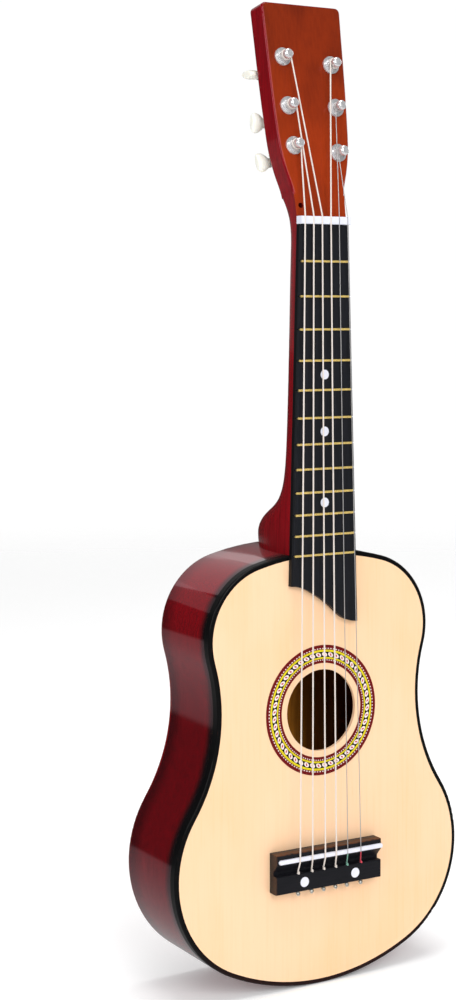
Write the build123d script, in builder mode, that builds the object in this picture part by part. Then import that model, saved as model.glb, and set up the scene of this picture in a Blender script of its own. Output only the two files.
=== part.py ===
"""Small six-string toy guitar: hollow maple body, bolted bridge, tilted head, open-gear tuners.

Frame: +Z runs up the neck, the strings face -Y and +X is the treble side.
The origin is the centre of the bounding box's lowest face.
"""
import os
from math import acos, atan2, cos, radians, sin, sqrt

from build123d import *

os.makedirs("parts", exist_ok=True)

# ---------------------------------------------------------------- driving dimensions, mm
# Body
body_length = 235.5
body_depth = 53.0
upper_half, waist_half, lower_half = 70.7, 65.2, 91.0
upper_radius, waist_radius, lower_radius = 41.0, 94.0, 60.0
waist_z = 152.4
wall = 2.5
binding_depth = 5.0
binding_round = 1.0
back_round = 0.8
board_thickness = 2.0
back_thickness = 2.0
hole_z, hole_radius = 148.6, 22.1
rosette_inner, rosette_outer, rosette_proud = 25.6, 35.4, 0.2

# Inside the body
lining_width, lining_depth = 4.5, 6.0
neck_block_half, neck_block_length = 24.0, 22.0
end_block_half, end_block_length = 22.0, 12.0
brace_width, brace_depth = 6.0, 9.0
top_brace_zs = (38.0, 117.0, 181.0)
back_brace_zs = (50.0, 104.0, 186.0)
plate_half, plate_low, plate_high = 38.0, 48.0, 82.0

# Bridge
bridge_left, bridge_right = -33.0, 34.5
bridge_low, bridge_high = 54.2, 75.5
tie_top_z, tie_height = 63.9, 6.8
ridge_low_z, ridge_height = 70.0, 7.1
groove_height, groove_step = 3.3, 1.8
bridge_round = 0.5
saddle_z, saddle_width, saddle_height = 71.7, 2.4, 8.75
saddle_left, saddle_seat, saddle_round = -30.6, 4.0, 1.0
tie_hole_height, tie_hole_gap = 5.5, 0.2
bolt_xs, bolt_z = (-15.1, 17.7), 59.0
bolt_radius, bolt_head_radius, bolt_seat, bolt_tail = 1.5, 2.4, 1.8, 3.4
bolt_nut_radius, bolt_nut_length = 3.1, 2.4
bolt_slot_width, bolt_slot_length, bolt_slot_depth = 0.7, 3.6, 0.8
dot_radius, dot_seat, dot_proud, dot_round = 2.7, 6.2, 0.15, 0.3

# Neck, board and nut
nut_z, nut_width, nut_half, nut_height = 413.1, 4.3, 16.0, 5.3
nut_round, notch_depth, notch_gap = 0.6, 0.5, 0.05
head_start_z = nut_z + nut_width + 0.3
fretboard_thickness = 3.3
fretboard_end_half, fretboard_end_z, fretboard_left_z = 21.8, 195.8, 217.6
fretboard_chamfer = 0.6
fret_count, fret_radius, fret_inset = 12, 0.6, 1.5
slot_half_width, slot_depth = 0.25, 1.2
scale_length = 358.7
neck_depth = 14.0
trim_low_z, trim_low_depth, trim_high_depth = 398.0, 2.0, 4.0
dot_zs = (331.5, 300.6, 262.0)
inlay_radius, inlay_depth, inlay_proud = 2.65, 0.8, 0.05

# Head and tuners
head_tilt = radians(10.0)
head_thickness = 13.0
head_length = 120.0
head_round = 1.2
head_sides = ((18.9, 21.5), (22.1, 35.0), (23.5, 50.0), (24.9, 84.0))
head_top_half, head_top_corner = 25.8, 3.0
head_root, head_root_half, head_corner = 12.0, 16.6, 2.5
face_hole_x, face_hole_along, face_hole_radius, face_hole_depth = -12.7, 5.7, 1.5, 5.0
post_places = ((-13.6, 39.0), (-14.8, 61.4), (-15.4, 89.0), (15.8, 86.2), (16.2, 61.7), (14.9, 36.0))
button_turns = (12.0, -8.0, 78.0, 30.0, -55.0, 15.0)
post_radius, post_height, cap_radius, cap_start = 2.2, 8.0, 2.75, 5.4
running_gap = 0.05
cap_round = 1.4
bush_radius, bush_step_radius, bush_tube_radius = 5.0, 3.7, 3.0
bush_flange, bush_step, bush_tube = 0.9, 1.0, 8.0
worm_drop, worm_offset = 6.5, 5.2
worm_core, worm_height, worm_pitch, worm_length, thread_length = 1.25, 0.45, 1.5, 6.6, 5.2
thread_root, thread_crest, thread_sink = 0.42, 0.14, 0.15
shaft_radius, shaft_inner = 1.1, 5.4
collar_radius, collar_length = 1.6, 0.5
wheel_teeth, wheel_root, wheel_tip, wheel_width, wheel_bore = 13, 2.75, 3.4, 3.0, 1.6
tooth_foot, tooth_sink, tooth_slope = 0.95, 0.1, 75
rivet_radius, rivet_height = 2.1, 0.7
tuner_plate_half, tuner_plate_low, tuner_plate_high, tuner_plate_thickness = 4.9, -11.0, 10.0, 1.0
tuner_plate_corner = 1.5
ear_inner, ear_thickness, ear_radius = 3.7, 1.0, 2.6
tuner_screw_ys = (-9.0, 7.8)
tuner_screw_radius, tuner_screw_depth, tuner_screw_hole = 0.9, 5.5, 1.0
screw_head_radius, screw_head_height = 1.7, 0.9
cross_length, cross_width, cross_depth = 2.0, 0.4, 0.5
button_start, button_length, button_wide, button_thin = 4.9, 7.4, 5.6, 2.6
button_bore, button_round = 4.9, 0.9

# Strings
string_radii = (0.42, 0.42, 0.42, 0.42, 0.23, 0.23)
nut_xs = (-13.8, -8.3, -2.8, 2.8, 8.3, 13.8)
saddle_xs = (-19.5, -11.6, -3.4, 3.7, 11.3, 19.9)
hole_xs = (-18.7, -10.0, -2.3, 5.4, 12.8, 21.9)
turn_heights = (3.55, 4.3, 4.3, 4.3, 4.3, 4.3)
turn_counts = (1, 2, 2, 2, 3, 3)
contact_gap, wrap_gap, turn_gap, turning_gap = 0.03, 0.02, 0.1, 0.08
ball_radius = 1.3
saddle_bend, hole_bend, nut_bend, head_bend = 2.0, 1.6, 3.0, 30.0
saddle_lead, post_lead = 0.62, 9.0
exit_length = 0.7

# ---------------------------------------------------------------- derived places
string_crest = saddle_height + contact_gap + 2 * max(string_radii)
front_y = (string_crest - body_depth) / 2
back_y = front_y + body_depth
strings = range(6)
bolt_places = [(x, bolt_z) for x in bolt_xs]


def front_plane(depth):
    """Plane facing the player's side, a depth behind the soundboard's front, with local y up."""
    return Plane(origin=(0, front_y + depth, 0), x_dir=(1, 0, 0), z_dir=(0, -1, 0))


def head_point(x, along, out):
    """Point on the tilted head: x, distance up the face from the nut, and height off the face."""
    y = front_y + along * sin(head_tilt) - out * cos(head_tilt)
    z = head_start_z + along * cos(head_tilt) + out * sin(head_tilt)
    return (x, y, z)


def head_plane(x=0.0, along=0.0, out=0.0):
    """Plane on the head's face with local x to the right, y up the head and z out of it."""
    return Plane(
        origin=head_point(x, along, out),
        x_dir=(1, 0, 0),
        z_dir=(0, -cos(head_tilt), sin(head_tilt)),
    )


def fretboard_half(z):
    """Half the width of the neck and its board at a height."""
    slope = (fretboard_end_half - nut_half) / (nut_z - fretboard_end_z)
    return nut_half + slope * (nut_z - z)


def save(part, name):
    """Name a finished piece and write it out."""
    part.label = name
    export_step(part, f"parts/{name}.step")


# ---------------------------------------------------------------- body outline
def body_face(depth, inset=0.0):
    """Face inside the body outline: five tangent arcs a side, all moved inwards by inset."""
    upper, waist, lower = upper_half - inset, waist_half - inset, lower_half - inset
    r_upper, r_waist, r_lower = upper_radius - inset, waist_radius + inset, lower_radius - inset
    top, bottom = body_length - inset, inset
    waist_to_upper = (upper - waist) * (r_upper + waist - upper + r_upper + 2 * r_waist)
    waist_to_lower = (lower - waist) * (r_lower + waist - lower + r_lower + 2 * r_waist)
    upper_centre = Vector(upper - r_upper, waist_z + sqrt(waist_to_upper))
    lower_centre = Vector(lower - r_lower, waist_z - sqrt(waist_to_lower))
    waist_centre = Vector(waist + r_waist, waist_z)
    drop = top - upper_centre.Y
    r_top = (upper_centre.X**2 + drop**2 - r_upper**2) / (2 * (drop - r_upper))
    rise = lower_centre.Y - bottom
    r_bottom = (lower_centre.X**2 + rise**2 - r_lower**2) / (2 * (rise - r_lower))
    top_centre = Vector(0, top - r_top)
    bottom_centre = Vector(0, bottom + r_bottom)
    shoulder = upper_centre + (upper_centre - top_centre).normalized() * r_upper
    above_waist = upper_centre + (waist_centre - upper_centre).normalized() * r_upper
    below_waist = lower_centre + (waist_centre - lower_centre).normalized() * r_lower
    foot = lower_centre + (lower_centre - bottom_centre).normalized() * r_lower
    with BuildSketch(front_plane(depth)) as face:
        with BuildLine():
            TangentArc((0, top), shoulder, tangent=(1, 0))
            ThreePointArc(shoulder, (upper, upper_centre.Y), above_waist)
            ThreePointArc(above_waist, (waist, waist_z), below_waist)
            ThreePointArc(below_waist, (lower, lower_centre.Y), foot)
            TangentArc((0, bottom), foot, tangent=(1, 0))
            mirror(about=Plane.YZ)
        make_face()
    return face.sketch


def slab(depth, thickness, inset=0.0, mode=Mode.ADD):
    """Body-shaped slab from a depth towards the back, inside a BuildPart block."""
    extrude(body_face(depth, inset), amount=thickness, dir=(0, 1, 0), mode=mode)


def box_between(low, high, mode=Mode.ADD):
    """Box from its low corner to its high corner, inside a BuildPart block."""
    size = [h - l for l, h in zip(low, high)]
    with Locations(tuple(low)):
        Box(*size, align=(Align.MIN, Align.MIN, Align.MIN), mode=mode)


# ---------------------------------------------------------------- body shell
with BuildPart() as soundboard:
    slab(0, board_thickness, wall)
    with BuildSketch(front_plane(0)):
        with Locations((0, hole_z)):
            Circle(hole_radius)
        with Locations(*bolt_places):
            Circle(bolt_radius)
    extrude(amount=board_thickness, dir=(0, 1, 0), mode=Mode.SUBTRACT)
save(soundboard.part, "soundboard")

with BuildPart() as front_binding:
    slab(0, binding_depth)
    slab(0, binding_depth, wall, Mode.SUBTRACT)
    front_edges = front_binding.faces().sort_by(Axis.Y)[0].outer_wire().edges()
    fillet(front_edges, binding_round)
save(front_binding.part, "front_binding")

with BuildPart() as rims:
    slab(binding_depth, body_depth - back_thickness - binding_depth)
    slab(binding_depth, body_depth - back_thickness - binding_depth, wall, Mode.SUBTRACT)

for rim_name, kept_half in (("bass_rim", Keep.BOTTOM), ("treble_rim", Keep.TOP)):
    with BuildPart() as rim:
        add(rims.part)
        split(bisect_by=Plane.YZ, keep=kept_half)
    save(rim.part, rim_name)

with BuildPart() as back_plate:
    slab(body_depth - back_thickness, back_thickness)
    back_edges = back_plate.faces().sort_by(Axis.Y)[-1].edges()
    fillet(back_edges, back_round)
save(back_plate.part, "back_plate")

with BuildPart() as rosette:
    with BuildSketch(front_plane(-rosette_proud)):
        with Locations((0, hole_z)):
            Circle(rosette_outer)
            Circle(rosette_inner, mode=Mode.SUBTRACT)
    extrude(amount=rosette_proud, dir=(0, 1, 0))
save(rosette.part, "rosette")

# ---------------------------------------------------------------- blocks, linings and braces
inner_depth = body_depth - back_thickness - board_thickness
block_low_y, block_high_y = front_y + board_thickness, back_y - back_thickness


def block(half_width, low_z, high_z):
    """Solid block between soundboard and back, shaped by the wall's inner face."""
    with BuildPart() as blank:
        slab(board_thickness, inner_depth, wall)
        with BuildPart(mode=Mode.PRIVATE) as window:
            box_between((-half_width, block_low_y, low_z), (half_width, block_high_y, high_z))
        add(window.part, mode=Mode.INTERSECT)
    return blank.part


neck_block_low = body_length - wall - neck_block_length
neck_block = block(neck_block_half, neck_block_low, body_length)
end_block = block(end_block_half, 0, wall + end_block_length)
save(neck_block, "neck_block")
save(end_block, "end_block")

with BuildPart() as linings:
    for lining_start in (board_thickness, body_depth - back_thickness - lining_depth):
        slab(lining_start, lining_depth, wall)
        slab(lining_start, lining_depth, wall + lining_width, Mode.SUBTRACT)
    add(neck_block, mode=Mode.SUBTRACT)
    add(end_block, mode=Mode.SUBTRACT)
save(linings.part, "linings")

with BuildPart() as braces:
    slab(board_thickness, inner_depth, wall + lining_width)
    with BuildPart(mode=Mode.PRIVATE) as bars:
        for brace_start, brace_zs in (
            (block_low_y, top_brace_zs),
            (block_high_y - brace_depth, back_brace_zs),
        ):
            for brace_z in brace_zs:
                low = (-lower_half, brace_start, brace_z - brace_width / 2)
                high = (lower_half, brace_start + brace_depth, brace_z + brace_width / 2)
                box_between(low, high)
    add(bars.part, mode=Mode.INTERSECT)
save(braces.part, "braces")

with BuildPart() as bridge_plate:
    with BuildSketch(front_plane(board_thickness)):
        with Locations((0, (plate_low + plate_high) / 2)):
            Rectangle(2 * plate_half, plate_high - plate_low)
        with Locations(*bolt_places):
            Circle(bolt_radius, mode=Mode.SUBTRACT)
    extrude(amount=board_thickness, dir=(0, 1, 0))
save(bridge_plate.part, "bridge_plate")

# ---------------------------------------------------------------- bridge
with BuildPart() as bridge:
    with BuildSketch(Plane.YZ.offset(bridge_left)) as bridge_section:
        with BuildLine():
            Polyline(
                (front_y, bridge_low),
                (front_y, bridge_high),
                (front_y - ridge_height, bridge_high),
                (front_y - ridge_height, ridge_low_z),
                (front_y - groove_height, tie_top_z + groove_step),
                (front_y - groove_height, tie_top_z),
                (front_y - tie_height, tie_top_z),
                (front_y - tie_height, bridge_low),
                close=True,
            )
        make_face()
        raised = bridge_section.vertices().filter_by(lambda v: v.X < front_y - groove_height - 1)
        fillet(raised, bridge_round)
    extrude(amount=bridge_right - bridge_left)
    with BuildSketch(front_plane(-ridge_height)):
        with Locations((saddle_left, saddle_z)):
            Circle(saddle_width / 2)
        with Locations(((saddle_left + bridge_right + 1) / 2, saddle_z)):
            Rectangle(bridge_right + 1 - saddle_left, saddle_width)
    extrude(amount=ridge_height - saddle_seat, dir=(0, 1, 0), mode=Mode.SUBTRACT)
    for hole_x, string_radius in zip(hole_xs, string_radii):
        with BuildSketch(Plane.XY.offset(bridge_low)):
            with Locations((hole_x, front_y - tie_hole_height)):
                Circle(string_radius + tie_hole_gap)
        extrude(amount=tie_top_z - bridge_low, mode=Mode.SUBTRACT)
    with BuildSketch(front_plane(0)):
        with Locations(*bolt_places):
            Circle(bolt_radius)
    extrude(amount=tie_height, dir=(0, -1, 0), mode=Mode.SUBTRACT)
    with BuildSketch(front_plane(-bolt_seat)):
        with Locations(*bolt_places):
            Circle(dot_radius)
    extrude(amount=tie_height, dir=(0, -1, 0), mode=Mode.SUBTRACT)
save(bridge.part, "bridge")

with BuildPart() as saddle:
    with BuildSketch(front_plane(-saddle_seat)):
        with Locations((saddle_left, saddle_z)):
            Circle(saddle_width / 2)
        with Locations(((saddle_left + bridge_right) / 2, saddle_z)):
            Rectangle(bridge_right - saddle_left, saddle_width)
    extrude(amount=saddle_height - saddle_seat, dir=(0, -1, 0))
    crest_edges = saddle.faces().sort_by(Axis.Y)[0].edges().filter_by(Axis.X)
    fillet(crest_edges, saddle_round)
save(saddle.part, "saddle")

with BuildPart() as bridge_dots:
    with BuildSketch(front_plane(-dot_seat)):
        with Locations(*bolt_places):
            Circle(dot_radius)
    extrude(amount=tie_height + dot_proud - dot_seat, dir=(0, -1, 0))
    fillet(bridge_dots.faces().group_by(Axis.Y)[0].edges(), dot_round)
save(bridge_dots.part, "bridge_dots")

with BuildPart() as bridge_bolts:
    bolt_end = 2 * board_thickness + bolt_tail
    for place in bolt_places:
        with BuildSketch(front_plane(bolt_end)):
            with Locations(place):
                Circle(bolt_radius)
        extrude(amount=bolt_end + bolt_seat, dir=(0, -1, 0))
        with BuildSketch(front_plane(-bolt_seat)):
            with Locations(place):
                Circle(bolt_head_radius)
        extrude(amount=bolt_seat, dir=(0, -1, 0))
        with BuildSketch(front_plane(2 * board_thickness)):
            with Locations(place):
                RegularPolygon(radius=bolt_nut_radius, side_count=6)
        extrude(amount=bolt_nut_length, dir=(0, 1, 0))
        with BuildSketch(front_plane(-2 * bolt_seat)):
            with Locations(place):
                Rectangle(bolt_slot_length, bolt_slot_width)
        extrude(amount=bolt_slot_depth, dir=(0, 1, 0), mode=Mode.SUBTRACT)
save(bridge_bolts.part, "bridge_bolts")


# ---------------------------------------------------------------- neck with heel and head
def neck_section(plane, half_width, depth, side, flat):
    """Neck cross-section: flat front, short straight sides, rounded back with a flat middle."""
    roundness = 0.6
    with BuildSketch(plane) as section:
        with BuildLine():
            Line((0, 0), (half_width, 0))
            Line((half_width, 0), (half_width, side))
            Bezier(
                (half_width, side),
                (half_width, side + roundness * (depth - side)),
                (flat + roundness * (half_width - flat), depth),
                (flat, depth),
            )
            Line((flat, depth), (0, depth))
            mirror(about=Plane.YZ)
        make_face()
    return section.sketch


def level_section(z, depth, side, flat):
    """Section of the neck at a height, on the level plane there."""
    plane = Plane(origin=(0, front_y, z), x_dir=(1, 0, 0), z_dir=(0, 0, 1))
    return neck_section(plane, fretboard_half(z), depth, side, flat)


def tilted_section(along, half_width, side, flat):
    """Section of the head's root, square to the head."""
    plane = Plane(
        origin=head_point(0, along, 0), x_dir=(1, 0, 0), z_dir=(0, sin(head_tilt), cos(head_tilt))
    )
    return neck_section(plane, half_width, head_thickness, side, flat)


heel_sections = [
    level_section(z, depth, side, flat)
    for z, depth, side, flat in (
        (229.0, 47.5, 14.0, 6.0),
        (243.0, 48.0, 14.0, 6.0),
        (249.0, 45.0, 13.0, 5.5),
        (255.0, 37.0, 9.0, 4.5),
        (261.0, 27.5, 5.0, 3.0),
        (270.0, 20.5, 2.5, 1.6),
        (284.0, 16.6, 1.6, 1.2),
        (304.0, 15.0, 1.5, 1.0),
        (352.0, 14.4, 1.5, 1.0),
        (trim_low_z, neck_depth, 2.0, 1.0),
    )
]
root_sections = [
    tilted_section(1.0, nut_half, 6.0, 6.0),
    tilted_section(
        head_root, head_root_half, head_thickness - head_corner, head_root_half - head_corner
    ),
]

with BuildPart() as head:
    with BuildSketch(head_plane()) as head_outline:
        with BuildLine():
            Line((0, head_root), (head_root_half, head_root))
            Spline(
                (head_root_half, head_root),
                *head_sides,
                (head_top_half, head_length),
                tangents=((0.1, 1), (0.03, 1)),
            )
            Line((head_top_half, head_length), (0, head_length))
            mirror(about=Plane.YZ)
        make_face()
        fillet(head_outline.vertices().group_by(Axis.Y)[-1], head_top_corner)
    extrude(amount=-head_thickness)
    root_z = head_point(0, head_root + 1, 0)[2]
    head_rims = head.edges().filter_by(lambda e: e.length > head_thickness and e.center().Z > root_z)
    fillet(head_rims, head_round)

with BuildPart() as neck:
    loft(heel_sections + root_sections)
    with BuildSketch(Plane.YZ.offset(-nut_half)):
        with BuildLine():
            Polyline(
                (front_y, trim_low_z),
                (front_y, head_start_z),
                head_point(0, head_root, 0)[1:],
                head_point(0, head_root, -trim_high_depth)[1:],
                (front_y + trim_low_depth, trim_low_z),
                close=True,
            )
        make_face()
    extrude(amount=2 * nut_half)
    add(head.part)
    with BuildSketch(head_plane()):
        with Locations(*post_places):
            Circle(bush_tube_radius)
    extrude(amount=-head_thickness, mode=Mode.SUBTRACT)
    with BuildSketch(head_plane()):
        with Locations((face_hole_x, face_hole_along)):
            Circle(face_hole_radius)
    extrude(amount=-face_hole_depth, mode=Mode.SUBTRACT)
    screw_places = [(x, along + dy) for x, along in post_places for dy in tuner_screw_ys]
    with BuildSketch(head_plane(out=-head_thickness)):
        with Locations(*screw_places):
            Circle(tuner_screw_radius)
    extrude(amount=tuner_screw_depth, mode=Mode.SUBTRACT)
    with BuildSketch(Plane.YZ.offset(-lower_half)):
        with BuildLine():
            Polyline(
                (front_y, fretboard_end_z),
                (front_y, head_start_z),
                head_point(0, head_length / 2, 0)[1:],
                head_point(0, head_length / 2, head_thickness)[1:],
                (front_y - head_thickness, head_start_z),
                (front_y - head_thickness, fretboard_end_z),
                close=True,
            )
        make_face()
    extrude(amount=2 * lower_half, mode=Mode.SUBTRACT)
    slab(0, body_depth, 0, Mode.SUBTRACT)
save(neck.part, "neck")

# ---------------------------------------------------------------- fretboard, frets, dots and nut
fret_zs = [nut_z - scale_length * (1 - 2 ** (-n / 12)) for n in range(1, fret_count + 1)]

with BuildPart() as fretboard:
    with BuildSketch(front_plane(0)):
        with BuildLine():
            low_left = (-fretboard_half(fretboard_left_z), fretboard_left_z)
            low_right = (fretboard_end_half, fretboard_end_z)
            Polyline(low_left, (-nut_half, nut_z), (nut_half, nut_z), low_right)
            Spline(low_left, (-8.6, 213.7), (5.5, 203.8), low_right, tangents=((1, -0.02), (1, -0.05)))
        make_face()
    extrude(amount=fretboard_thickness)
    straight_edges = fretboard.faces().sort_by(Axis.Y)[0].edges().filter_by(GeomType.LINE)
    chamfer(straight_edges.filter_by(lambda e: e.length > 3 * nut_half), fretboard_chamfer)
    for fret_z in fret_zs:
        low = (-lower_half, front_y - fretboard_thickness - 1, fret_z - slot_half_width)
        high = (lower_half, front_y - fretboard_thickness + slot_depth, fret_z + slot_half_width)
        box_between(low, high, Mode.SUBTRACT)
    with BuildSketch(front_plane(-fretboard_thickness)):
        with Locations(*[(0, z) for z in dot_zs]):
            Circle(inlay_radius)
    extrude(amount=inlay_depth, dir=(0, 1, 0), mode=Mode.SUBTRACT)
save(fretboard.part, "fretboard")

with BuildPart() as frets:
    for fret_z in fret_zs:
        half = fretboard_half(fret_z) - fret_inset
        with BuildSketch(Plane.YZ.offset(-half)):
            with BuildLine():
                crown = front_y - fretboard_thickness
                fret_low, fret_high = (crown, fret_z - fret_radius), (crown, fret_z + fret_radius)
                ThreePointArc(fret_low, (crown - fret_radius, fret_z), fret_high)
                Line(fret_low, fret_high)
            make_face()
        extrude(amount=2 * half)
        low = (-half, crown, fret_z - slot_half_width)
        high = (half, crown + slot_depth, fret_z + slot_half_width)
        box_between(low, high)
save(frets.part, "frets")

with BuildPart() as position_dots:
    with BuildSketch(front_plane(inlay_depth - fretboard_thickness)):
        with Locations(*[(0, z) for z in dot_zs]):
            Circle(inlay_radius)
    extrude(amount=inlay_depth + inlay_proud)
save(position_dots.part, "position_dots")

with BuildPart() as nut:
    box_between((-nut_half, front_y - nut_height, nut_z), (nut_half, front_y, nut_z + nut_width))
    nut_top = nut.faces().sort_by(Axis.Y)[0].edges().filter_by(Axis.X)
    fillet(nut_top, nut_round)
    for nut_x, string_radius in zip(nut_xs, string_radii):
        notch_half = string_radius + notch_gap
        low = (nut_x - notch_half, front_y - nut_height - 1, nut_z - 1)
        high = (nut_x + notch_half, front_y - nut_height + notch_depth, nut_z + nut_width + 1)
        box_between(low, high, Mode.SUBTRACT)
save(nut.part, "nut")

# ---------------------------------------------------------------- tuners: fixed pieces
head_back = -head_thickness
plate_out = head_back - tuner_plate_thickness
worm_out = head_back - worm_drop

with BuildPart() as tuner_bushings:
    for x, along in post_places:
        for radius, start, height in (
            (bush_tube_radius, -bush_tube, bush_tube),
            (bush_radius, 0.0, bush_flange),
            (bush_step_radius, bush_flange, bush_step),
        ):
            with BuildSketch(head_plane(x, along, start)):
                Circle(radius)
                Circle(post_radius + running_gap, mode=Mode.SUBTRACT)
            extrude(amount=height)
save(tuner_bushings.part, "tuner_bushings")

with BuildPart() as tuner_plates:
    for x, along in post_places:
        with BuildSketch(head_plane(x, along, plate_out)):
            with Locations((0, (tuner_plate_low + tuner_plate_high) / 2)):
                RectangleRounded(
                    2 * tuner_plate_half, tuner_plate_high - tuner_plate_low, tuner_plate_corner
                )
            Circle(post_radius + running_gap, mode=Mode.SUBTRACT)
            with Locations(*[(0, y) for y in tuner_screw_ys]):
                Circle(tuner_screw_hole, mode=Mode.SUBTRACT)
        extrude(amount=tuner_plate_thickness)
        for ear_x in (-ear_inner - ear_thickness, ear_inner):
            ear_plane = Plane(
                origin=head_point(x + ear_x, along - worm_offset, worm_out),
                x_dir=(0, sin(head_tilt), cos(head_tilt)),
                z_dir=(1, 0, 0),
            )
            with BuildSketch(ear_plane):
                Circle(ear_radius)
                with Locations((0, (plate_out - worm_out) / 2)):
                    Rectangle(2 * ear_radius, plate_out - worm_out)
                Circle(shaft_radius + running_gap, mode=Mode.SUBTRACT)
            extrude(amount=ear_thickness)
save(tuner_plates.part, "tuner_plates")

with BuildPart() as tuner_screws:
    for x, along in screw_places:
        with BuildSketch(head_plane(x, along, plate_out)):
            Circle(tuner_screw_radius)
        extrude(amount=tuner_screw_depth)
        with BuildSketch(head_plane(x, along, plate_out)):
            Circle(screw_head_radius)
        extrude(amount=-screw_head_height)
        with BuildSketch(head_plane(x, along, plate_out - screw_head_height)):
            Rectangle(cross_length, cross_width)
            Rectangle(cross_width, cross_length)
        extrude(amount=cross_depth, mode=Mode.SUBTRACT)
save(tuner_screws.part, "tuner_screws")


# ---------------------------------------------------------------- tuners: turning pieces
def post(place):
    """String post: round shaft through the head, riveted over the wheel, with a domed cap."""
    x, along = place
    wheel_back = worm_out - wheel_width / 2
    wheel_front = worm_out + wheel_width / 2
    with BuildPart() as shaft:
        with BuildSketch(head_plane(x, along, wheel_front)):
            Circle(post_radius)
        extrude(amount=post_height - wheel_front)
        with BuildSketch(head_plane(x, along, cap_start)):
            Circle(cap_radius)
        extrude(amount=post_height - cap_start)
        top_edge = shaft.edges().filter_by(GeomType.CIRCLE).sort_by(Axis.Y)[0]
        fillet(top_edge, cap_round)
        with BuildSketch(head_plane(x, along, wheel_back)):
            Circle(wheel_bore)
        extrude(amount=wheel_width)
        with BuildSketch(head_plane(x, along, wheel_back)):
            Circle(rivet_radius)
        extrude(amount=-rivet_height)
    return shaft.part


def wheel(place):
    """Worm wheel on the post's end."""
    x, along = place
    tooth_height = wheel_tip - wheel_root + tooth_sink
    with BuildPart() as gear:
        with BuildSketch(head_plane(x, along, worm_out - wheel_width / 2)):
            Circle(wheel_root)
            with PolarLocations(wheel_root - tooth_sink, wheel_teeth):
                Trapezoid(
                    tooth_foot, tooth_height, tooth_slope, rotation=-90, align=(Align.CENTER, Align.MIN)
                )
            Circle(wheel_bore, mode=Mode.SUBTRACT)
        extrude(amount=wheel_width)
    return gear.part


def worm(place, side):
    """Worm on its shaft, which runs from the inner ear out to the button."""
    x, along = place
    centre = Vector(*head_point(x, along - worm_offset, worm_out))
    along_x = Plane(origin=centre, x_dir=(0, 0, 1), z_dir=(side, 0, 0))
    thread_start = centre - Vector(thread_length / 2, 0, 0)
    with BuildPart() as screw:
        with BuildSketch(along_x.offset(-shaft_inner)):
            Circle(shaft_radius)
        extrude(amount=shaft_inner + button_start + button_bore)
        with BuildSketch(along_x.offset(-shaft_inner)):
            Circle(collar_radius)
        extrude(amount=collar_length)
        with BuildSketch(along_x.offset(-worm_length / 2)):
            Circle(worm_core)
        extrude(amount=worm_length)
        with BuildLine() as thread:
            Helix(worm_pitch, thread_length, worm_core, center=thread_start, direction=(1, 0, 0))
        first = thread.line @ 0
        with BuildSketch(Plane(origin=first, x_dir=first - thread_start, z_dir=thread.line % 0)):
            Polygon(
                (-thread_sink, -thread_root),
                (worm_height, -thread_crest),
                (worm_height, thread_crest),
                (-thread_sink, thread_root),
                align=None,
            )
        sweep(path=thread.line, is_frenet=True)
    return screw.part


def button(place, side, turn):
    """Flat moulded button that fits over the worm shaft's outer end."""
    x, along = place
    centre = head_point(x, along - worm_offset, worm_out)
    lean = head_tilt + radians(turn)
    outward = Plane(origin=centre, x_dir=(0, sin(lean), cos(lean)), z_dir=(side, 0, 0))
    sections = []
    for reach, wide, thin in (
        (0.0, 2.4, 2.1),
        (2.0, 4.4, 2.5),
        (4.6, button_wide, button_thin),
        (button_length, 4.6, 1.9),
    ):
        with BuildSketch(outward.offset(button_start + reach)) as section:
            Ellipse(wide, thin)
        sections.append(section.sketch)
    with BuildPart() as grip:
        loft(sections)
        end_face = grip.faces().sort_by(Axis.X)[-1 if side > 0 else 0]
        fillet(end_face.edges(), button_round)
        with BuildSketch(outward.offset(button_start)):
            Circle(shaft_radius)
        extrude(amount=button_bore, mode=Mode.SUBTRACT)
    return grip.part


def string_wraps(place, radius, turn_height, count):
    """Turns of string wound tight on the post, under the turn that the string's free span ends in."""
    x, along = place
    up_head = (0, sin(head_tilt), cos(head_tilt))
    out_of_head = (0, -cos(head_tilt), sin(head_tilt))
    with BuildPart() as coil:
        for turn in range(count):
            centre = head_point(x, along, turn_height - (turn + 1) * (2 * radius + turn_gap))
            with BuildSketch(Plane(origin=centre, x_dir=(1, 0, 0), z_dir=up_head)):
                with Locations((post_radius + radius + wrap_gap, 0)):
                    Circle(radius)
            revolve(axis=Axis(centre, out_of_head))
    return coil.part


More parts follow.
